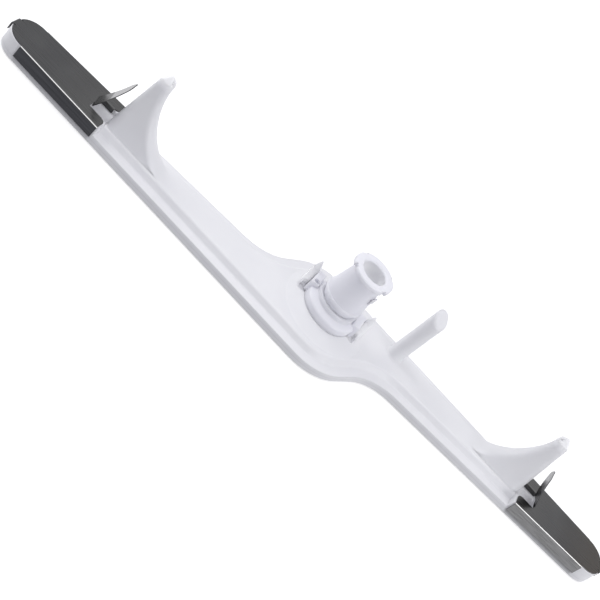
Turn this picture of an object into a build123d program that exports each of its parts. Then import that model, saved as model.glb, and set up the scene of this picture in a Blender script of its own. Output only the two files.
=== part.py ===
from build123d import *
import os

# All sizes in millimetres. X runs along the arm, Z is the hub axis, z = 0 is the underside of the arm.

# Plan of the arm, half a turn about the hub axis maps it onto itself
half_length = 248.8        # hub axis to the plastic tip
edge_out_tip = 41.7        # straight outer edge from the X axis, at the tip
edge_out_hub = 45.1        # the same edge where it meets the hub bulge
bulge_x = 20.0             # corner of the hub bulge before rounding
waist_x = 50.6             # corner between bulge and inner edge before rounding
waist_y = 2.5
edge_in_tip = 14.0         # inner edge from the X axis, at the tip
tip_r = 13.2
bulge_r = 38.0
waist_r = 40.0

# Heights and walls of the two welded shells
shell_t = 2.2              # wall of both mouldings
weld_z = 3.4               # joint face of the two shells
ledge_z = 6.1              # top of the weld flange
plateau_z = 10.6           # top of the water channel
dome_z = 14.0              # raised seat round the hub
ledge_w = 7.0              # width of the weld flange
channel_draft = 30.0       # lean of the channel wall
channel_top_r = 2.4
channel_foot_r = 1.6
channel_in = 10.0          # water channel from the outline
lower_edge = 0.8           # bevel under the rim of the lower shell

# End blocks that carry the clips
block_l = 77.6             # plastic tip to the inner face of the block
block_z = 12.4
block_edge = 0.5           # bevel of the upper edge, clears the bends of the clip
recess_z = 9.4             # floor of the recess between the prongs of the clip

# Horns, the tall jets next to the clips
horn_y = 24.8
horn_lap = 0.8             # outer side of the foot past the face of the block
horn_foot_l = 50.5         # foot along the arm
horn_foot_z = 10.4         # just inside the roof of the channel
horn_foot_half = 7.6
horn_lean = 5.3            # outer side, from foot to neck
horn_neck_l = 9.4          # neck along the arm
horn_neck_half = 4.3
horn_top_z = 62.2
horn_head_h = 6.2          # above the neck the inner side is upright
horn_sweep = 1.8           # exponent of the concave inner side
horn_round = 0.85          # corner radius over half thickness
horn_steps = 6
horn_wall = 1.9            # wall at the narrow sides
horn_slot = 0.55           # width of the water way over the thickness of the horn
horn_cap = 5.0             # neck to the top of the water way
slope_l = 4.4              # slanted outer shoulder of the tip
slope_h = 5.8
facet_h = 4.2              # slanted front and back facets of the tip
ridge_half = 0.8
nose_l = 4.2               # small slanted nose on the inner side of the tip
nose_h = 5.4
jet_d = 2.0
jet_in = 2.3               # jet hole from the inner side of the neck

# Post, the single round jet of the right half
post_x = 52.6
post_y = 25.9
post_r = 5.7
post_top_z = 53.8          # middle of the slanted top
post_tilt = 36.0
post_turn = 35.0           # bearing of the slanted top, from the front to the right
post_foot_edge = 0.8       # bevel round the foot
post_top_edge = 1.0        # bevel round the slanted top
post_bore_r = 3.4
post_cap = 7.0

# Hub of the arm
dome_r = 31.5              # foot of the dome
dome_top_r = 20.2
hub_open_r = 16.6
hook_x = 23.4              # latch hooks beside the retaining ring
hook_y = 9.4
hook_w = 4.4
hook_t = 2.4
hook_z = 29.0
hook_head = 5.0            # height of the slanted hook head
hook_rib_y = -2.2          # foot of the sloping rib in front of a hook
hook_rib_z = 24.0
pocket_x = 20.9            # blind pockets in front of the hooks
pocket_y = -1.5
pocket_w = 6.4
pocket_l = 7.4
pocket_r = 1.5
pocket_z = 11.4

# Spindle, the tube that the machine holds
bore_r = 8.8
bore_edge = 1.0            # bevel of the mouth
neck_r = 12.5
foot_flange_r = 15.4
foot_flange_z = 9.0
foot_flange_t = 2.3
bead_r = 14.6
bead_z = 28.4
bead_h = 2.4
bead_edge = 0.5
cone_foot_r = 13.9
cone_top_r = 11.5
cone_top_z = 51.5
rim_r = 14.9
rim_z = 56.9
rim_t = 2.8
rim_edge = 0.6
rim_notch_w = 3.2
rim_notch_depth = 1.3
rim_notch_turn = 37.0
stop_z = 42.0              # small stop on the tube
stop_h = 4.6
stop_w = 5.0
stop_r = 13.3
stop_turn = -22.0

# Retaining ring between arm and spindle
running_gap = 0.05         # radial, ring on spindle neck
seat_gap = 0.3             # ring spigot in the hub opening
ring_r = 19.0
ring_foot_z = 11.9
ring_rim_z = 19.4
ring_step_r = 14.8
ring_step_z = 21.8
ring_lip_z = 24.6
ring_edge = 0.6
lug_in = 15.4              # two lugs under the hooks
lug_out = 20.9
lug_front = -3.4
lug_back = 12.0
lug_z = 23.0
lug_edge_r = 0.7
eye_d = 4.2                # blind eye in the left lug
eye_x = -18.0
eye_y = -0.4
eye_h = 2.0

# End clips of folded sheet
sheet_t = 0.6
bend_r = 1.2               # outside of the bends
clip_gap = 0.2             # side flange to the block
clip_set = 0.8             # prongs from the face of the block
clip_side_l = 62.4         # length of the side flanges
clip_side_z = 4.2
prong_r = 3.0
notch_l = 13.0             # notch between the prongs
notch_half = 7.2           # between the bent sides of the notch
notch_side_z = 9.7
clip_y = 25.4
tab_half = 4.2
tab_z = 7.0
relief_w = 0.8
relief_depth = 3.0
tongue_mid_l = 7.0         # middle and tip of the bowed tongue, back from its root
tongue_mid_z = 27.0
tongue_tip_l = 11.5
tongue_tip_z = 40.0
tongue_root_half = 5.6
tongue_leaf_half = 3.4     # where the taper to the tip begins
tongue_leaf_z = 36.0
tongue_tip_half = 0.5
tongue_turn = 12.0         # about the upright line through its root

block_x = half_length - block_l
horn_foot_out = block_x + horn_lap
horn_foot_in = horn_foot_out - horn_foot_l
horn_neck_out = horn_foot_out - horn_lean
horn_neck_in = horn_neck_out - horn_neck_l
horn_neck_z = horn_top_z - horn_head_h
horn_void_z = horn_neck_z - horn_cap
slope_x = horn_neck_out - slope_l
nose_x = horn_neck_in + nose_l
jet_x = horn_neck_in + jet_in
clip_in = block_x + clip_set
clip_side_out = clip_in + clip_side_l
notch_x = clip_in + notch_l
tongue_mid_x = notch_x - tongue_mid_l
tongue_tip_x = notch_x - tongue_tip_l
tongue_root = Axis((notch_x, clip_y, 0), (0, 0, 1))
sheet_z = block_z + sheet_t
clip_out = clip_gap + sheet_t
fold_x = clip_out - bend_r
recess_half = notch_half + clip_out
notch_cut = recess_half - fold_x
notch_side_x = (clip_in + prong_r + notch_x) / 2
notch_side_half = (notch_x - clip_in - prong_r) / 2
tip_y = (edge_in_tip + edge_out_tip) / 2
tab_wide = tab_half - relief_w / 2
post_lean = Vector(0, 0, 1).rotate(Axis.X, post_tilt).rotate(Axis.Z, post_turn)
post_top = Plane(origin=(post_x, post_y, post_top_z), z_dir=post_lean)
post_bore_z = post_top_z - post_cap
post_rear = Vector(-post_lean.X, -post_lean.Y)
post_back = Plane(origin=(post_x, post_y, post_bore_z), x_dir=(0, 0, 1), z_dir=post_rear)
ring_bore_r = neck_r + running_gap
hook_in = lug_out + seat_gap
hook_out = hook_x + hook_w / 2
spigot_r = hub_open_r - seat_gap
slope_fall = slope_h / slope_l
nose_fall = nose_h / nose_l
facet_fall = facet_h / (horn_neck_half - ridge_half)
facet_foot_z = horn_top_z - facet_fall * (horn_foot_half - ridge_half)
corners = [
    (-half_length, -edge_out_tip),
    (bulge_x, -edge_out_hub),
    (waist_x, -waist_y),
    (half_length, edge_in_tip),
    (half_length, edge_out_tip),
    (-bulge_x, edge_out_hub),
    (-waist_x, waist_y),
    (-half_length, -edge_in_tip),
]

# Plan outline shared by both shells and the clips
with BuildSketch() as outline:
    with BuildLine():
        Polyline(*corners, close=True)
    make_face()
    tips = outline.vertices().filter_by(lambda v: abs(v.X) > block_x)
    fillet(tips, tip_r)
    bulges = outline.vertices().filter_by(lambda v: abs(abs(v.X) - bulge_x) < tip_r / 10)
    fillet(bulges, bulge_r)
    waists = outline.vertices().filter_by(lambda v: abs(abs(v.X) - waist_x) < tip_r / 10)
    fillet(waists, waist_r)


def horn_station(share):
    # share runs from 0 at the foot to 1 at the neck
    drop = 1 - share
    reach = (1 - drop ** horn_sweep) ** (1 / horn_sweep)
    inner = horn_foot_in + (horn_neck_in - horn_foot_in) * reach
    outer = horn_foot_out + (horn_neck_out - horn_foot_out) * share
    half = horn_neck_half + (horn_foot_half - horn_neck_half) * drop ** 2
    return horn_foot_z + (horn_neck_z - horn_foot_z) * share, inner, outer, half


# One horn, the body of the jet with its slanted tip
with BuildPart() as horn:
    for step in range(horn_steps + 1):
        z, inner, outer, half = horn_station(step / horn_steps)
        with BuildSketch(Plane.XY.offset(z)):
            with Locations(((inner + outer) / 2, horn_y)):
                RectangleRounded(outer - inner, 2 * half, horn_round * half)
    loft()
    extrude(horn.faces().sort_by(Axis.Z)[-1], amount=horn_top_z - horn_neck_z)
    extrude(horn.faces().sort_by(Axis.Z)[0], amount=horn_foot_z - ledge_z)
    with BuildSketch(Plane.XZ.offset(-horn_y)):
        with BuildLine():
            Polyline(
                (horn_foot_out, horn_top_z - slope_fall * (horn_foot_out - slope_x)),
                (slope_x, horn_top_z),
                (slope_x, horn_top_z + horn_foot_half),
                (horn_foot_out, horn_top_z + horn_foot_half),
                close=True,
            )
        make_face()
        with BuildLine():
            Polyline(
                (nose_x - horn_foot_half, horn_top_z - nose_fall * horn_foot_half),
                (nose_x, horn_top_z),
                (nose_x, horn_top_z + horn_foot_half),
                (nose_x - horn_foot_half, horn_top_z + horn_foot_half),
                close=True,
            )
        make_face()
    extrude(amount=horn_foot_half, both=True, mode=Mode.SUBTRACT)
    with BuildSketch(Plane.YZ.offset(horn_foot_in)):
        for side in (-1, 1):
            with BuildLine():
                Polyline(
                    (horn_y + side * horn_foot_half, facet_foot_z),
                    (horn_y + side * ridge_half, horn_top_z),
                    (horn_y + side * ridge_half, horn_top_z + horn_foot_half),
                    (horn_y + side * horn_foot_half, horn_top_z + horn_foot_half),
                    close=True,
                )
            make_face()
    extrude(amount=horn_foot_out - horn_foot_in, mode=Mode.SUBTRACT)

# Water way inside one horn
with BuildPart() as horn_void:
    for step in range(horn_steps + 1):
        z, inner, outer, half = horn_station(step / horn_steps)
        if z < horn_void_z:
            with BuildSketch(Plane.XY.offset(z)):
                with Locations(((inner + outer) / 2, horn_y)):
                    Rectangle(outer - inner - 2 * horn_wall, 2 * half * horn_slot)
    loft()
    extrude(horn_void.faces().sort_by(Axis.Z)[0], amount=horn_foot_z - plateau_z + shell_t)
    with BuildSketch(Plane.XY.offset(horn_void_z - horn_wall)):
        with Locations((jet_x, horn_y)):
            Circle(jet_d / 2)
    extrude(amount=horn_top_z)

# Upper shell with channel, end blocks, horns, post, dome and hooks
with BuildPart() as arm_upper_shell:
    with BuildSketch(Plane.XY.offset(weld_z)):
        add(outline.sketch)
    extrude(amount=ledge_z - weld_z)
    with BuildSketch(Plane.XY.offset(ledge_z)):
        add(outline.sketch)
        offset(amount=-ledge_w, mode=Mode.REPLACE)
    extrude(amount=plateau_z - ledge_z, taper=channel_draft)
    channel_top = arm_upper_shell.faces().sort_by(Axis.Z)[-1]
    fillet(channel_top.edges(), channel_top_r)
    flange_tops = arm_upper_shell.faces().filter_by(lambda f: len(f.inner_wires()) == 1)
    fillet(flange_tops.sort_by(Axis.Z)[-1].inner_wires()[0].edges(), channel_foot_r)
    with BuildSketch(Plane.XY.offset(weld_z)):
        add(outline.sketch)
        with Locations((0, 0)):
            Rectangle(2 * block_x, 2 * half_length, mode=Mode.SUBTRACT)
    extrude(amount=block_z - weld_z)
    with BuildSketch(Plane.XY.offset(recess_z)):
        for side in (-1, 1):
            with Locations((side * (block_x + notch_x) / 2, side * clip_y)):
                Rectangle(notch_x - block_x, 2 * recess_half)
    extrude(amount=block_z - recess_z, mode=Mode.SUBTRACT)
    block_tops = arm_upper_shell.faces().filter_by(lambda f: abs(f.center().Z - block_z) < running_gap)
    block_rims = block_tops.edges().filter_by(lambda e: abs(e.center().X) > block_x + block_edge)
    chamfer(block_rims, block_edge)
    with PolarLocations(0, 2):
        add(horn.part)
    with BuildSketch(Plane.XZ):
        with BuildLine():
            Polyline(
                (0, ledge_z),
                (dome_r, ledge_z),
                (dome_r, plateau_z),
                (dome_top_r, dome_z),
                (0, dome_z),
                close=True,
            )
        make_face()
    revolve(axis=Axis.Z)

    with BuildSketch(Plane.XY.offset(plateau_z)):
        with Locations((post_x, post_y)):
            Circle(post_r)
    extrude(amount=post_top_z + 2 * post_r - plateau_z)
    rounds = arm_upper_shell.edges().filter_by(GeomType.CIRCLE)
    post_foot = rounds.filter_by(lambda e: abs(e.radius - post_r) < running_gap)
    chamfer(post_foot.sort_by(Axis.Z)[0], post_foot_edge)
    with BuildSketch(post_top):
        Rectangle(4 * post_r, 4 * post_r)
    extrude(amount=4 * post_r, mode=Mode.SUBTRACT)
    post_rim = arm_upper_shell.edges().filter_by(GeomType.ELLIPSE)
    chamfer(post_rim.filter_by(lambda e: abs(e.center().X - post_x) < post_r), post_top_edge)
    with BuildSketch(Plane.XZ.offset(-hook_y)):
        for side in (-1, 1):
            with BuildLine():
                Polyline(
                    (side * (hook_x + hook_w / 2), plateau_z),
                    (side * (hook_x + hook_w / 2), hook_z - hook_head),
                    (side * (hook_x + hook_w / 4), hook_z),
                    (side * hook_x, hook_z),
                    (side * (hook_x - hook_w / 2), hook_z - hook_head),
                    (side * (hook_x - hook_w / 2), plateau_z),
                    close=True,
                )
            make_face()
    extrude(amount=hook_t / 2, both=True)
    for side in (-1, 1):
        with BuildSketch(Plane.YZ.offset(side * (hook_in + hook_out) / 2)):
            with BuildLine():
                Polyline(
                    (hook_y, hook_rib_z),
                    (hook_rib_y, dome_z - (dome_z - plateau_z) / 2),
                    (hook_rib_y, plateau_z),
                    (hook_y, plateau_z),
                    close=True,
                )
            make_face()
        extrude(amount=(hook_out - hook_in) / 2, both=True)
    with BuildSketch(Plane.XY.offset(pocket_z)):
        with Locations((-pocket_x, pocket_y), (pocket_x, pocket_y)):
            RectangleRounded(pocket_w, pocket_l, pocket_r)
    extrude(amount=hook_rib_z - pocket_z, mode=Mode.SUBTRACT)
    with BuildSketch(Plane.XY.offset(weld_z)):
        add(outline.sketch)
        offset(amount=-channel_in, mode=Mode.REPLACE)
        Rectangle(2 * block_x, 2 * half_length, mode=Mode.INTERSECT)
    extrude(amount=plateau_z - shell_t - weld_z, mode=Mode.SUBTRACT)
    with BuildSketch(Plane.XY.offset(weld_z)):
        Circle(hub_open_r)
    extrude(amount=dome_z, mode=Mode.SUBTRACT)
    with PolarLocations(0, 2):
        add(horn_void.part, mode=Mode.SUBTRACT)
    with BuildSketch(Plane.XY.offset(weld_z)):
        with Locations((post_x, post_y)):
            Circle(post_bore_r)
    extrude(amount=post_bore_z - weld_z, mode=Mode.SUBTRACT)
    with BuildSketch(post_back):
        with Locations((-jet_d, 0)):
            Circle(jet_d / 2)
    extrude(amount=post_r, mode=Mode.SUBTRACT)

# Lower shell, a shallow tray welded to the upper one
with BuildPart() as arm_lower_shell:
    with BuildSketch():
        add(outline.sketch)
    extrude(amount=weld_z)
    chamfer(arm_lower_shell.faces().sort_by(Axis.Z)[0].edges(), lower_edge)
    with BuildSketch(Plane.XY.offset(shell_t)):
        add(outline.sketch)
        offset(amount=-channel_in, mode=Mode.REPLACE)
    extrude(amount=weld_z, mode=Mode.SUBTRACT)

# Spindle with bore, foot flange, bead, cone and notched rim
with BuildPart() as hub_spindle:
    with BuildSketch(Plane.XZ):
        with BuildLine():
            Polyline(
                (bore_r, foot_flange_z),
                (foot_flange_r, foot_flange_z),
                (foot_flange_r, foot_flange_z + foot_flange_t),
                (neck_r, foot_flange_z + foot_flange_t),
                (neck_r, bead_z),
                (bead_r, bead_z),
                (bead_r, bead_z + bead_h),
                (cone_foot_r, bead_z + bead_h),
                (cone_top_r, cone_top_z),
                (cone_top_r, rim_z - rim_t),
                (rim_r, rim_z - rim_t),
                (rim_r, rim_z),
                (bore_r, rim_z),
                close=True,
            )
        make_face()
    revolve(axis=Axis.Z)
    rim_edges = hub_spindle.faces().sort_by(Axis.Z)[-1].edges().sort_by(SortBy.RADIUS)
    chamfer(rim_edges[0], bore_edge)
    chamfer(rim_edges[-1], rim_edge)
    bead_edges = hub_spindle.edges().filter_by(GeomType.CIRCLE)
    chamfer(bead_edges.filter_by(lambda e: abs(e.radius - bead_r) < running_gap), bead_edge)
    with BuildSketch(Plane.XY.offset(rim_z - rim_t)):
        for turn in (rim_notch_turn, 180 - rim_notch_turn, 180 + rim_notch_turn, -rim_notch_turn):
            with PolarLocations(rim_r, 1, start_angle=turn):
                Rectangle(2 * rim_notch_depth, rim_notch_w)
    extrude(amount=rim_t, mode=Mode.SUBTRACT)
    with BuildSketch(Plane.XY.offset(stop_z)):
        with PolarLocations((neck_r + stop_r) / 2, 1, start_angle=stop_turn):
            Rectangle(stop_r - neck_r, stop_w)
    extrude(amount=stop_h)

# Retaining ring that clips to the arm and turns on the spindle
with BuildPart() as hub_ring:
    with BuildSketch(Plane.XZ):
        with BuildLine():
            Polyline(
                (ring_bore_r, ring_foot_z),
                (spigot_r, ring_foot_z),
                (spigot_r, dome_z),
                (ring_r, dome_z),
                (ring_r, ring_rim_z),
                (ring_step_r, ring_step_z),
                (ring_step_r, ring_lip_z),
                (ring_bore_r, ring_lip_z),
                close=True,
            )
        make_face()
    revolve(axis=Axis.Z)
    ring_edges = hub_ring.edges().filter_by(GeomType.CIRCLE)
    chamfer(ring_edges.filter_by(lambda e: abs(e.arc_center.Z - ring_rim_z) < running_gap), ring_edge)
    with BuildSketch(Plane.XY.offset(dome_z)):
        for side in (-1, 1):
            with Locations((side * (lug_in + lug_out) / 2, (lug_front + lug_back) / 2)):
                Rectangle(lug_out - lug_in, lug_back - lug_front)
    extrude(amount=lug_z - dome_z)
    lug_tops = hub_ring.faces().filter_by(Axis.Z)
    lug_tops = lug_tops.filter_by(lambda f: abs(f.center().Z - lug_z) < running_gap)
    fillet(lug_tops.edges(), lug_edge_r)
    with BuildSketch(Plane.XY.offset(lug_z - eye_h)):
        with Locations((eye_x, eye_y)):
            Circle(eye_d / 2)
    extrude(amount=eye_h, mode=Mode.SUBTRACT)

# Pointed tongue of a clip, a bowed strip cut to a leaf
with BuildPart() as tongue:
    with BuildSketch(Plane.XZ.offset(-clip_y)):
        with BuildLine():
            face_a = ThreePointArc(
                (notch_x, block_z),
                (tongue_mid_x, tongue_mid_z),
                (tongue_tip_x, tongue_tip_z),
            )
            face_b = ThreePointArc(
                (notch_x + sheet_t, block_z),
                (tongue_mid_x + sheet_t, tongue_mid_z),
                (tongue_tip_x + sheet_t, tongue_tip_z),
            )
            Line(face_a @ 0, face_b @ 0)
            Line(face_a @ 1, face_b @ 1)
        make_face()
    extrude(amount=tongue_root_half, both=True)
    with BuildSketch(Plane.YZ.offset(tongue_tip_x - sheet_t)):
        with BuildLine():
            Polyline(
                (clip_y - tongue_root_half, block_z),
                (clip_y + tongue_root_half, block_z),
                (clip_y + tongue_leaf_half, tongue_leaf_z),
                (clip_y + tongue_tip_half, tongue_tip_z),
                (clip_y - tongue_tip_half, tongue_tip_z),
                (clip_y - tongue_leaf_half, tongue_leaf_z),
                close=True,
            )
        make_face()
    extrude(amount=notch_x - tongue_tip_x + 4 * sheet_t, mode=Mode.INTERSECT)


def folded_edge(foot_z):
    # section of the sheet bent over the block, x outwards from the outline, y up
    with BuildSketch() as section:
        with BuildLine():
            outside = JernArc((fold_x, sheet_z), (1, 0), bend_r, -90)
            inside = JernArc((fold_x, block_z), (1, 0), bend_r - sheet_t, -90)
            Line(inside @ 0, outside @ 0)
            Polyline(outside @ 1, (clip_out, foot_z), (clip_gap, foot_z), inside @ 1)
        make_face()
    return section.sketch


def edge_plane(start, end, side):
    # upright plane square to a straight edge, half way along the side flange
    along = (Vector(*end) - Vector(*start)).normalized()
    out = Vector(-along.Y, along.X) * side
    mid = Vector(*start) + along * (((clip_in + clip_side_out) / 2 - start[0]) / along.X)
    return Plane(origin=mid, x_dir=out, z_dir=out.cross(Vector(0, 0, 1)))


side_fold = folded_edge(clip_side_z)
tab_fold = folded_edge(tab_z)
notch_fold = folded_edge(notch_side_z)
front_plane = edge_plane(corners[2], corners[3], -1)
back_plane = edge_plane(corners[5], corners[4], 1)
tip_plane = Plane(origin=(half_length, tip_y, 0), x_dir=(1, 0, 0), z_dir=(0, -1, 0))
notch_front = Plane(origin=(notch_side_x, clip_y - recess_half, 0), x_dir=(0, 1, 0), z_dir=(1, 0, 0))
notch_back = Plane(origin=(notch_side_x, clip_y + recess_half, 0), x_dir=(0, -1, 0), z_dir=(-1, 0, 0))

# One end clip, plate, bent side flanges, bent tip tab, bent sides of the notch and tongue
with BuildPart() as end_clip_right:
    with BuildSketch(Plane.XY.offset(block_z)):
        add(outline.sketch)
        offset(amount=fold_x, mode=Mode.REPLACE)
        with Locations((clip_in, 0)):
            Rectangle(half_length, 2 * half_length, align=(Align.MIN, Align.CENTER), mode=Mode.INTERSECT)
        with Locations((clip_in, clip_y)):
            Rectangle(
                notch_x - clip_in,
                2 * notch_cut,
                align=(Align.MIN, Align.CENTER),
                mode=Mode.SUBTRACT,
            )
        with Locations((half_length + fold_x, tip_y)):
            Rectangle(relief_depth, 2 * tab_wide, align=(Align.MAX, Align.CENTER))
        for side in (-1, 1):
            with Locations((half_length + clip_out, tip_y + side * tab_half)):
                Rectangle(2 * relief_depth, relief_w, mode=Mode.SUBTRACT)
    extrude(amount=sheet_t)
    prong_edges = end_clip_right.edges().filter_by(Axis.Z)
    prong_edges = prong_edges.filter_by(lambda e: abs(e.center().X - clip_in) < sheet_t)
    prong_edges = prong_edges.filter_by(lambda e: abs(abs(e.center().Y - clip_y) - notch_cut) < sheet_t)
    fillet(prong_edges, prong_r)
    with BuildSketch(front_plane, back_plane):
        add(side_fold)
    extrude(amount=(clip_side_out - clip_in) / 2, both=True)
    with BuildSketch(tip_plane):
        add(tab_fold)
    extrude(amount=tab_wide, both=True)
    with BuildSketch(notch_front, notch_back):
        add(notch_fold)
    extrude(amount=notch_side_half, both=True)
    add(tongue.part.rotate(tongue_root, tongue_turn))

with BuildPart() as end_clip_left:
    with Locations(Rotation(0, 0, 180)):
        add(end_clip_right.part)

arm_upper_shell.part.label = "arm_upper_shell"
arm_lower_shell.part.label = "arm_lower_shell"
end_clip_left.part.label = "end_clip_left"
end_clip_right.part.label = "end_clip_right"
hub_ring.part.label = "hub_ring"
hub_spindle.part.label = "hub_spindle"

os.makedirs("parts", exist_ok=True)
export_step(arm_upper_shell.part, "parts/arm_upper_shell.step")
export_step(arm_lower_shell.part, "parts/arm_lower_shell.step")
export_step(end_clip_left.part, "parts/end_clip_left.step")
export_step(end_clip_right.part, "parts/end_clip_right.step")
export_step(hub_ring.part, "parts/hub_ring.step")
export_step(hub_spindle.part, "parts/hub_spindle.step")
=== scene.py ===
import math

import bpy
import numpy as np
from mathutils import Matrix, Vector

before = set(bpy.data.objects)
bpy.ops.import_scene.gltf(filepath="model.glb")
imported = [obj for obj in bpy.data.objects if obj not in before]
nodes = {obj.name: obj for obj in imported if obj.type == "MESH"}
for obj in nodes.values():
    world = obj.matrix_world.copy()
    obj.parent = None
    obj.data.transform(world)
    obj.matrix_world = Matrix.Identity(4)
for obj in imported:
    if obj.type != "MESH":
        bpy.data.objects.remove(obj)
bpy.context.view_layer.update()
scene = bpy.context.scene
scene.view_settings.view_transform = "Standard"
print("spray arm frame loaded, nodes:", sorted(nodes))


# small helpers for node trees
def addNode(tree, kind, **settings):
    node = tree.nodes.new(kind)
    for key, value in settings.items():
        setattr(node, key, value)
    return node


def setInputs(node, **values):
    for key, value in values.items():
        node.inputs[key.replace("_", " ")].default_value = value


def feed(tree, value, socket):
    # value is a socket to link, a colour, a vector or a number
    if isinstance(value, bpy.types.NodeSocket):
        tree.links.new(value, socket)
    elif socket.type == "RGBA":
        socket.default_value = (*value, 1)
    else:
        socket.default_value = value


def startMaterial(name):
    material = bpy.data.materials.new(name)
    material.use_nodes = True
    tree = material.node_tree
    shader = tree.nodes["Principled BSDF"]
    coords = addNode(tree, "ShaderNodeTexCoord").outputs["Object"]
    return material, tree, shader, coords


def noiseFactor(tree, coords, scale, detail, stretch=(1, 1, 1), roughness=0.55):
    # noise on object coordinates, stretch squeezes it along one axis
    mapping = addNode(tree, "ShaderNodeMapping")
    setInputs(mapping, Scale=stretch)
    tree.links.new(coords, mapping.inputs["Vector"])
    noise = addNode(tree, "ShaderNodeTexNoise")
    setInputs(noise, Scale=scale, Detail=detail, Roughness=roughness)
    tree.links.new(mapping.outputs["Vector"], noise.inputs["Vector"])
    return noise.outputs["Fac"]


def rangeOf(tree, value, low, high, fromLow, fromHigh):
    # low at fromLow to high at fromHigh, held level outside
    mapped = addNode(tree, "ShaderNodeMapRange")
    setInputs(mapped, From_Min=fromLow, From_Max=fromHigh, To_Min=low, To_Max=high)
    tree.links.new(value, mapped.inputs["Value"])
    return mapped.outputs["Result"]


def noiseRange(tree, noise, low, high, fromLow=0.3, fromHigh=0.7):
    # the middle of the noise spread over low to high
    return rangeOf(tree, noise, low, high, fromLow, fromHigh)


def between(tree, mask, low, high):
    return rangeOf(tree, mask, low, high, 0, 1)


def mixColour(tree, factor, colourA, colourB, mode="MIX"):
    mix = addNode(tree, "ShaderNodeMix", data_type="RGBA", blend_type=mode)
    for value, place in ((factor, 0), (colourA, 6), (colourB, 7)):
        feed(tree, value, mix.inputs[place])
    return mix.outputs[2]


def mixNormal(tree, factor, normalA, normalB):
    mix = addNode(tree, "ShaderNodeMix", data_type="VECTOR")
    for value, place in ((factor, 0), (normalA, 4), (normalB, 5)):
        feed(tree, value, mix.inputs[place])
    unit = addNode(tree, "ShaderNodeVectorMath", operation="NORMALIZE")
    tree.links.new(mix.outputs[1], unit.inputs[0])
    return unit.outputs[0]


def doMath(tree, operation, *values):
    node = addNode(tree, "ShaderNodeMath", operation=operation)
    for value, socket in zip(values, node.inputs):
        feed(tree, value, socket)
    return node.outputs[0]


def product(tree, first, *others):
    for other in others:
        first = doMath(tree, "MULTIPLY", first, other)
    return first


def bandMask(tree, value, middle, half, soft):
    # 1 inside middle +- half, fading to 0 over soft
    away = doMath(tree, "ABSOLUTE", doMath(tree, "SUBTRACT", value, middle))
    return rangeOf(tree, away, 1, 0, half, half + soft)


def boxMask(tree, axes, box):
    # one band for each axis that is given
    masks = []
    for value, middle, half in zip(axes, box["middle"], box["half"]):
        masks.append(bandMask(tree, value, middle, half, box["soft"]))
    return product(tree, *masks)


def axesOf(tree, vector, names):
    # sockets of the named axes, in that order
    split = addNode(tree, "ShaderNodeSeparateXYZ")
    tree.links.new(vector, split.inputs[0])
    return [split.outputs[name] for name in names]


def axisDistance(tree, coords, foot):
    # distance from the upright line through foot
    level = addNode(tree, "ShaderNodeVectorMath", operation="MULTIPLY")
    tree.links.new(coords, level.inputs[0])
    level.inputs[1].default_value = (1, 1, 0)
    reach = addNode(tree, "ShaderNodeVectorMath", operation="DISTANCE")
    tree.links.new(level.outputs[0], reach.inputs[0])
    reach.inputs[1].default_value = foot
    return reach.outputs["Value"]


def surfaceNormal(tree):
    return addNode(tree, "ShaderNodeNewGeometry").outputs["Normal"]


def seenDirectly(tree):
    # 1 for what the camera sees, also in gloss and through glass
    path = addNode(tree, "ShaderNodeLightPath")
    seen = doMath(tree, "MAXIMUM", path.outputs["Is Camera Ray"], path.outputs["Is Glossy Ray"])
    return doMath(tree, "MAXIMUM", seen, path.outputs["Is Transmission Ray"])


# white moulded plastic of the arm
shellLook = {
    "tone": (0.834, 0.834, 0.844),
    "toneWorn": (0.804, 0.804, 0.820),
    "roughLow": 0.34,
    "roughHigh": 0.46,
    "grainScale": 2400,
    "grainStrength": 0.05,
    "glow": 0.22,                   # share of light that goes into the plastic
    "glowDepth": 0.0030,
    "edgeSoft": 0.0012,             # rounding of the moulded edges in the shading
    "edgeFrom": 0.0050,             # the weld seam below keeps its sharp edges
    "seamZ": 0.0034,
    "seamHalf": 0.00010,
    "seamTone": (0.73, 0.73, 0.75),
    "clipShadeLeft": (0.38, 0.38, 0.39),      # painted shade below the side flanges of the clips, lighter on the left
    "clipShadeRight": (0.20, 0.20, 0.205),
    "clipShadeFrom": -0.0004,
    "clipShadeTo": 0.0042,
    "clipShadeTop": 0.0046,
    "clipShadeMiddle": 0.2032,
    "clipShadeHalf": 0.0300,
    "clipShadeSoft": 0.002,
    "roofZ": 0.0106,                # roof of the water channel
    "roofFrom": 0.0104,
    "footTop": 0.0178,              # run-out of the horn feet on the roof
    "footIn": 0.1150,
    "footFull": 0.1220,
    "footHold": 0.1260,
    "footOut": 0.1460,
    "footLean": 0.40,               # strip of a horn's side below the roof, down to the ledge
    "footStrip": 0.60,
    "stripFrom": 0.0064,
    "postAt": (0.0526, 0.0259, 0),
    "postReach": 0.0100,
    "postTop": 0.0160,
    "postSoft": 0.0028,             # wide soft foot of the post
    "hookBox": {"middle": (0.0234, 0.0042), "half": (0.0024, 0.0066), "soft": 0.0002},
    "hookFrom": 0.0142,
    "pocketBox": {"middle": (0.0209, -0.0015, 0.01195), "half": (0.0034, 0.0039, 0.00115), "soft": 0.0002},
    # painted light: the pockets are lifted to a lighter tone against their shade
    "pocketLitTone": (0.985, 0.985, 1.0),
    "tipFrom": 0.0530,              # thin tips of the horns
    "tipTo": 0.0575,
    "tipIn": 0.1200,
    "thinLitTone": (0.960, 0.960, 0.990),      # hooks and horn tips: painted lighter tone, and more light goes into the plastic there
    "thinGlow": 1.0,
    "thinDepth": 0.006,
}


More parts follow.
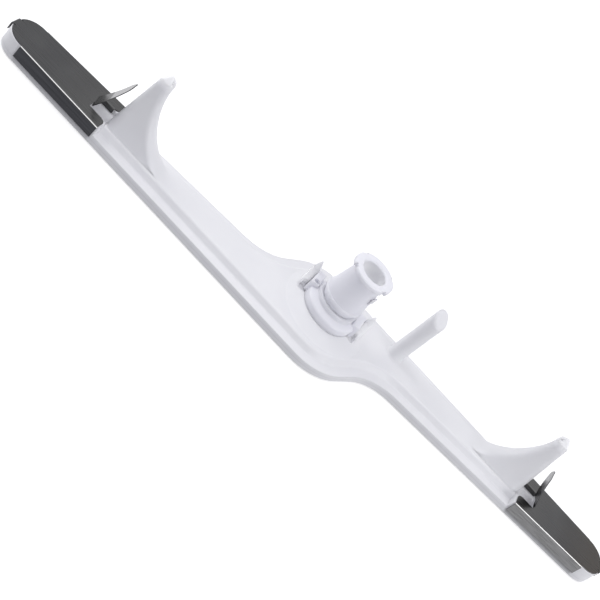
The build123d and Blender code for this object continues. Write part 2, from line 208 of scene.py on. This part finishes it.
def seamAndClipShade(tree, coords, tone, look):
    # weld seam all round, and painted shade on the wall below the clips, deepest just under the flanges
    x, z = axesOf(tree, coords, "XZ")
    seam = bandMask(tree, z, look["seamZ"], look["seamHalf"], look["seamHalf"])
    tone = mixColour(tree, seam, tone, look["seamTone"])
    along = doMath(tree, "ABSOLUTE", x)
    clipShade = product(
        tree,
        bandMask(tree, along, look["clipShadeMiddle"], look["clipShadeHalf"], look["clipShadeSoft"]),
        rangeOf(tree, z, 0, 1, look["clipShadeFrom"], look["clipShadeTo"]),
        doMath(tree, "LESS_THAN", z, look["clipShadeTop"]),
    )
    # the painted shade is darker below the right clip than below the left one
    rightHand = doMath(tree, "GREATER_THAN", x, 0.0)
    clipShadeTone = mixColour(tree, rightHand, look["clipShadeLeft"], look["clipShadeRight"])
    return mixColour(tree, clipShade, tone, clipShadeTone)


def footEase(tree, coords, look):
    # 1 where a horn's foot runs out on the roof, 0 up the horn and away from it
    x, z = axesOf(tree, coords, "XZ")
    along = doMath(tree, "ABSOLUTE", x)
    steep = doMath(tree, "LESS_THAN", axesOf(tree, surfaceNormal(tree), "Z")[0], look["footLean"])
    strip = product(tree, steep, doMath(tree, "GREATER_THAN", z, look["stripFrom"]), look["footStrip"])
    onRoof = doMath(tree, "GREATER_THAN", z, look["roofFrom"])
    return product(
        tree,
        rangeOf(tree, z, 1, 0, look["roofZ"], look["footTop"]),
        rangeOf(tree, along, 0, 1, look["footIn"], look["footFull"]),
        rangeOf(tree, along, 1, 0, look["footHold"], look["footOut"]),
        doMath(tree, "MAXIMUM", onRoof, strip),
    )


def shellNormal(tree, coords, rounded, ease, look):
    # moulded edges above the seam are rounded, and the horn feet ease to level
    z = axesOf(tree, coords, "Z")[0]
    above = doMath(tree, "GREATER_THAN", z, look["edgeFrom"])
    normal = mixNormal(tree, above, surfaceNormal(tree), rounded)
    return mixNormal(tree, ease, normal, (0, 0, 1))


def shellEdge(tree, coords, look):
    # wider round at the foot of the post than at the other edges
    z = axesOf(tree, coords, "Z")[0]
    foot = product(
        tree,
        doMath(tree, "LESS_THAN", axisDistance(tree, coords, look["postAt"]), look["postReach"]),
        doMath(tree, "LESS_THAN", z, look["postTop"]),
        doMath(tree, "GREATER_THAN", z, look["roofFrom"]),
    )
    return between(tree, foot, look["edgeSoft"], look["postSoft"])


def thinMask(tree, coords, look):
    # latch hooks and horn tips, the same on both halves of the arm
    x, y, z = axesOf(tree, coords, "XYZ")
    along = doMath(tree, "ABSOLUTE", x)
    hook = boxMask(tree, (along, y), look["hookBox"])
    hook = product(tree, hook, doMath(tree, "GREATER_THAN", z, look["hookFrom"]))
    tip = rangeOf(tree, z, 0, 1, look["tipFrom"], look["tipTo"])
    tip = product(tree, tip, doMath(tree, "GREATER_THAN", along, look["tipIn"]))
    return doMath(tree, "MAXIMUM", hook, tip)


def pocketMask(tree, coords, look):
    # blind pockets in front of the hooks
    x, y, z = axesOf(tree, coords, "XYZ")
    return boxMask(tree, (doMath(tree, "ABSOLUTE", x), y, z), look["pocketBox"])


# clearer plastic of the retaining ring and the feed tube
hubLook = {
    "tone": (0.835, 0.835, 0.876),
    "toneWorn": (0.805, 0.805, 0.850),
    "roughLow": 0.28,
    "roughHigh": 0.40,
    "grainScale": 3000,
    "grainStrength": 0.04,
    "glow": 0.60,
    "glowDepth": 0.0050,
    "edgeSoft": 0.0007,
    "boreR": 0.0089,                # the thin tube lets light through to its inside
    # painted light: the inside of the bore gets a lighter, bluer tone against its shade
    "boreLitTone": (0.930, 0.930, 1.0),
    "boreGlow": 1.0,
    "boreDepth": 0.080,
}

# what both plastics share
mouldLook = {
    "cloudScale": 35,
    "cloudDetail": 3,
    "streakScale": 220,
    "streakDetail": 4,
    "grainDetail": 2,
    "grainDepth": 0.0002,
    "edgeSamples": 6,
    "ior": 1.49,
}


def startPlastic(name, look, mould):
    # clouded tone, streaked gloss and rounded edges
    material, tree, shader, coords = startMaterial(name)
    cloudy = noiseFactor(tree, coords, mould["cloudScale"], mould["cloudDetail"])
    tone = mixColour(tree, noiseRange(tree, cloudy, 0, 1), look["tone"], look["toneWorn"])
    streaks = noiseFactor(tree, coords, mould["streakScale"], mould["streakDetail"])
    rough = noiseRange(tree, streaks, look["roughLow"], look["roughHigh"])
    tree.links.new(rough, shader.inputs["Roughness"])
    rounded = addNode(tree, "ShaderNodeBevel", samples=mould["edgeSamples"])
    setInputs(rounded, Radius=look["edgeSoft"])
    setInputs(shader, IOR=mould["ior"], Subsurface_Radius=(1.0, 1.0, 1.0))
    return material, tree, shader, coords, tone, rounded


def finishPlastic(tree, shader, coords, tone, normal, glow, depth, look, mould):
    # fine moulding grain over the rounded surface
    bump = addNode(tree, "ShaderNodeBump")
    setInputs(bump, Strength=look["grainStrength"], Distance=mould["grainDepth"])
    grain = noiseFactor(tree, coords, look["grainScale"], mould["grainDetail"])
    tree.links.new(grain, bump.inputs["Height"])
    tree.links.new(normal, bump.inputs["Normal"])
    tree.links.new(bump.outputs["Normal"], shader.inputs["Normal"])
    tree.links.new(tone, shader.inputs["Base Color"])
    tree.links.new(glow, shader.inputs["Subsurface Weight"])
    tree.links.new(depth, shader.inputs["Subsurface Scale"])


def armPlastic(name, look, mould):
    material, tree, shader, coords, tone, rounded = startPlastic(name, look, mould)
    tone = seamAndClipShade(tree, coords, tone, look)
    tree.links.new(shellEdge(tree, coords, look), rounded.inputs["Radius"])
    ease = footEase(tree, coords, look)
    normal = shellNormal(tree, coords, rounded.outputs["Normal"], ease, look)
    thin = thinMask(tree, coords, look)
    # painted light: hooks and horn tips lifted to a lighter tone
    tone = mixColour(tree, thin, tone, look["thinLitTone"])
    # painted light in the pockets in front of the hooks
    tone = mixColour(tree, pocketMask(tree, coords, look), tone, look["pocketLitTone"])
    glow = between(tree, thin, look["glow"], look["thinGlow"])
    glow = product(tree, glow, doMath(tree, "SUBTRACT", 1.0, ease))
    depth = between(tree, thin, look["glowDepth"], look["thinDepth"])
    finishPlastic(tree, shader, coords, tone, normal, glow, depth, look, mould)
    return material


def tubePlastic(name, look, mould):
    material, tree, shader, coords, tone, rounded = startPlastic(name, look, mould)
    inside = doMath(tree, "LESS_THAN", axisDistance(tree, coords, (0, 0, 0)), look["boreR"])
    # painted light inside the bore, on top of the light let through the thin wall
    tone = mixColour(tree, inside, tone, look["boreLitTone"])
    glow = between(tree, inside, look["glow"], look["boreGlow"])
    depth = between(tree, inside, look["glowDepth"], look["boreDepth"])
    finishPlastic(tree, shader, coords, tone, rounded.outputs["Normal"], glow, depth, look, mould)
    return material


# dark rolled sheet of the clips, with a painted highlight along its outer bends
steelLook = {
    "tone": (0.057, 0.057, 0.061),
    "toneLight": (0.076, 0.077, 0.080),
    "cloudScale": 28,
    "cloudDetail": 2,
    "toneRoot": (0.092, 0.092, 0.093),      # towards the tongue
    "rootFrom": 0.215,
    "rootTo": 0.180,
    "rootShare": 0.8,
    "toneWarm": (0.060, 0.054, 0.050),      # towards the tip of the right clip
    "warmFrom": 0.205,
    "warmTo": 0.240,
    # painted reflection on the upright sides, dark on the left clip, light on the right
    "sideReflectionLeft": (0.044, 0.045, 0.050),
    "sideReflectionRight": (0.188, 0.188, 0.190),
    "brushLow": 0.80,
    "brushHigh": 1.20,
    "steepHalf": 0.25,              # upward share of the normal on the upright sides
    "steepSoft": 0.15,
    # painted highlight on the tongue
    "tongueHighlight": (0.33, 0.33, 0.335),
    "tongueEdge": (0.075, 0.075, 0.078),
    "tongueFrom": 0.0228,
    "tongueTo": 0.0242,
    "shearLean": 0.75,              # sideways share of the normal on the sheared edges
    # painted highlight on the outer bends
    "bendHighlight": (0.95, 0.95, 0.95),
    "bendLean": 0.70,               # upward share of the normal on the bends
    "bendHalf": 0.085,
    "bendTop": 0.0133,
    "clipY": 0.0254,
    "notchHalf": 0.0098,
    "rollScale": 900,
    "rollDetail": 3,
    "rollStretch": (0.03, 1, 1),
    "rollStrength": 0.035,
    "rollDepth": 0.0001,
    "roughLow": 0.24,
    "roughHigh": 0.36,
}


def rolledSteel(name, look):
    material, tree, shader, coords = startMaterial(name)
    leanY, leanZ = axesOf(tree, surfaceNormal(tree), "YZ")
    x, y, z = axesOf(tree, coords, "XYZ")
    rolling = noiseFactor(tree, coords, look["rollScale"], look["rollDetail"], look["rollStretch"])
    low = doMath(tree, "LESS_THAN", z, look["bendTop"])
    away = doMath(tree, "SUBTRACT", doMath(tree, "ABSOLUTE", y), look["clipY"])
    outer = doMath(tree, "GREATER_THAN", doMath(tree, "ABSOLUTE", away), look["notchHalf"])

    # plate with a soft cloud, lighter at the root and warmer at the right tip
    cloudy = noiseFactor(tree, coords, look["cloudScale"], look["cloudDetail"])
    tone = mixColour(tree, noiseRange(tree, cloudy, 0, 1), look["tone"], look["toneLight"])
    along = doMath(tree, "ABSOLUTE", x)
    root = rangeOf(tree, along, 0, look["rootShare"], look["rootFrom"], look["rootTo"])
    tone = mixColour(tree, root, tone, look["toneRoot"])
    warm = rangeOf(tree, x, 0, 1, look["warmFrom"], look["warmTo"])
    tone = mixColour(tree, warm, tone, look["toneWarm"])

    # upright sides: painted reflection, darker on the left clip and lighter on the right one, with brushed
    # streaks
    rightHand = doMath(tree, "GREATER_THAN", x, 0.0)
    sideReflectionTone = mixColour(tree, rightHand, look["sideReflectionLeft"], look["sideReflectionRight"])
    brushed = noiseRange(tree, rolling, look["brushLow"], look["brushHigh"])
    sideReflectionTone = mixColour(tree, 1.0, sideReflectionTone, brushed, "MULTIPLY")
    steep = bandMask(tree, leanZ, 0, look["steepHalf"], look["steepSoft"])
    tone = mixColour(tree, product(tree, steep, low, outer), tone, sideReflectionTone)

    # tongue: painted highlight above its root, with its sideways-facing sheared edges kept dark
    sheared = doMath(tree, "GREATER_THAN", doMath(tree, "ABSOLUTE", leanY), look["shearLean"])
    tongueHighlight = mixColour(tree, sheared, look["tongueHighlight"], look["tongueEdge"])
    raised = rangeOf(tree, z, 0, 1, look["tongueFrom"], look["tongueTo"])
    tone = mixColour(tree, raised, tone, tongueHighlight)

    # painted highlight along the outer bends, where the surface leans between level and upright
    lean = bandMask(tree, leanZ, look["bendLean"], look["bendHalf"], look["bendHalf"])
    tone = mixColour(tree, product(tree, lean, low, outer), tone, look["bendHighlight"])
    tree.links.new(tone, shader.inputs["Base Color"])
    rough = noiseRange(tree, rolling, look["roughLow"], look["roughHigh"])
    tree.links.new(rough, shader.inputs["Roughness"])
    bump = addNode(tree, "ShaderNodeBump")
    setInputs(bump, Strength=look["rollStrength"], Distance=look["rollDepth"])
    tree.links.new(rolling, bump.inputs["Height"])
    tree.links.new(bump.outputs["Normal"], shader.inputs["Normal"])
    setInputs(shader, Metallic=1.0)
    return material


shellPlastic = armPlastic("shellPlastic", shellLook, mouldLook)
hubPlastic = tubePlastic("hubPlastic", hubLook, mouldLook)
clipSteel = rolledSteel("clipSteel", steelLook)
finishes = {
    "arm_upper_shell": shellPlastic,
    "arm_lower_shell": shellPlastic,
    "hub_ring": hubPlastic,
    "hub_spindle": hubPlastic,
    "end_clip_left": clipSteel,
    "end_clip_right": clipSteel,
}
for nodeName, material in finishes.items():
    for materialSlot in nodes[nodeName].material_slots:
        materialSlot.link = "OBJECT"
        materialSlot.material = material
print("finishes set on", len(finishes), "nodes")


# white floor that keeps a faint shadow
floorLook = {"half": 6.0, "z": -0.0004, "grey": 0.52, "lift": 0.68}


def whiteFloor(look):
    # a level square, u and v run over its sides
    sides = np.linspace(-look["half"], look["half"], 2)
    u, v = np.meshgrid(sides, sides)
    points = np.stack([u, v, np.full_like(u, look["z"])], -1).reshape(-1, 3)
    mesh = bpy.data.meshes.new("studioFloor")
    mesh.from_pydata(points.tolist(), [], [(0, 1, 3, 2)])
    floor = bpy.data.objects.new("studioFloor", mesh)
    scene.collection.objects.link(floor)
    material = bpy.data.materials.new("floorWhite")
    material.use_nodes = True
    tree = material.node_tree
    tree.nodes.remove(tree.nodes["Principled BSDF"])
    diffuse = addNode(tree, "ShaderNodeBsdfDiffuse")
    setInputs(diffuse, Color=(look["grey"], look["grey"], look["grey"], 1))
    glow = addNode(tree, "ShaderNodeEmission")
    tree.links.new(product(tree, seenDirectly(tree), look["lift"]), glow.inputs["Strength"])
    both = addNode(tree, "ShaderNodeAddShader")
    tree.links.new(diffuse.outputs[0], both.inputs[0])
    tree.links.new(glow.outputs[0], both.inputs[1])
    tree.links.new(both.outputs[0], tree.nodes["Material Output"].inputs["Surface"])
    mesh.materials.append(material)


whiteFloor(floorLook)

# even studio light from above, with a softbox on each side
worldLook = {"colour": (0.895, 0.90, 1.0), "strength": 0.475}
lampLooks = {
    "topSoftbox": {"at": (0.05, 0.10, 1.30), "aim": (0, 0, 0), "size": (1.8, 1.2), "power": 8.3},
    "rightSoftbox": {"at": (1.00, -0.60, 0.35), "aim": (0.15, 0, 0.02), "size": (0.7, 0.5), "power": 4.0},
    "leftSoftbox": {"at": (-0.95, 0.12, 0.44), "aim": (-0.08, 0, 0.03), "size": (0.7, 0.5), "power": 3.9},
}


def studioWorld(look):
    # white where it is seen, softer and cooler as light on the object
    world = bpy.data.worlds.new("studioWorld")
    scene.world = world
    world.use_nodes = True
    tree = world.node_tree
    background = tree.nodes["Background"]
    seen = seenDirectly(tree)
    tree.links.new(mixColour(tree, seen, look["colour"], (1.0, 1.0, 1.0)), background.inputs["Color"])
    tree.links.new(between(tree, seen, look["strength"], 1.0), background.inputs["Strength"])


def softbox(name, look):
    lamp = bpy.data.lights.new(name, "AREA")
    lamp.shape = "RECTANGLE"
    lamp.size, lamp.size_y = look["size"]
    lamp.energy = look["power"]
    holder = bpy.data.objects.new(name, lamp)
    scene.collection.objects.link(holder)
    holder.location = look["at"]
    ray = Vector(look["aim"]) - Vector(look["at"])
    holder.rotation_euler = ray.to_track_quat("-Z", "Y").to_euler()


studioWorld(worldLook)
for lampName, lampLook in lampLooks.items():
    softbox(lampName, lampLook)
print("floor and light ready")

# camera of the photograph, turned about its own axis
cameraLook = {
    "azimuth": -6.780,
    "elevation": 33.714,
    "roll": 50.462,
    "distance": 0.74917,
    "lookAt": (-0.017105, -0.008849, 0.010),
    "lens": 73.956,
    "sensor": 36,
    "clip": (0.01, 50),
}


def photoCamera(look):
    azimuth, elevation, roll = (math.radians(look[key]) for key in ("azimuth", "elevation", "roll"))
    back = Vector((
        math.sin(azimuth) * math.cos(elevation),
        -math.cos(azimuth) * math.cos(elevation),
        math.sin(elevation),
    ))
    right = Vector((0, 0, 1)).cross(back).normalized()
    up = back.cross(right)
    turnedRight = right * math.cos(roll) + up * math.sin(roll)
    turnedUp = up * math.cos(roll) - right * math.sin(roll)
    data = bpy.data.cameras.new("photoCamera")
    data.sensor_width = look["sensor"]
    data.lens = look["lens"]
    data.clip_start, data.clip_end = look["clip"]
    camera = bpy.data.objects.new("photoCamera", data)
    scene.collection.objects.link(camera)
    place = Matrix((turnedRight, turnedUp, back)).transposed().to_4x4()
    place.translation = Vector(look["lookAt"]) + back * look["distance"]
    camera.matrix_world = place
    scene.camera = camera


photoCamera(cameraLook)
print("camera ready")
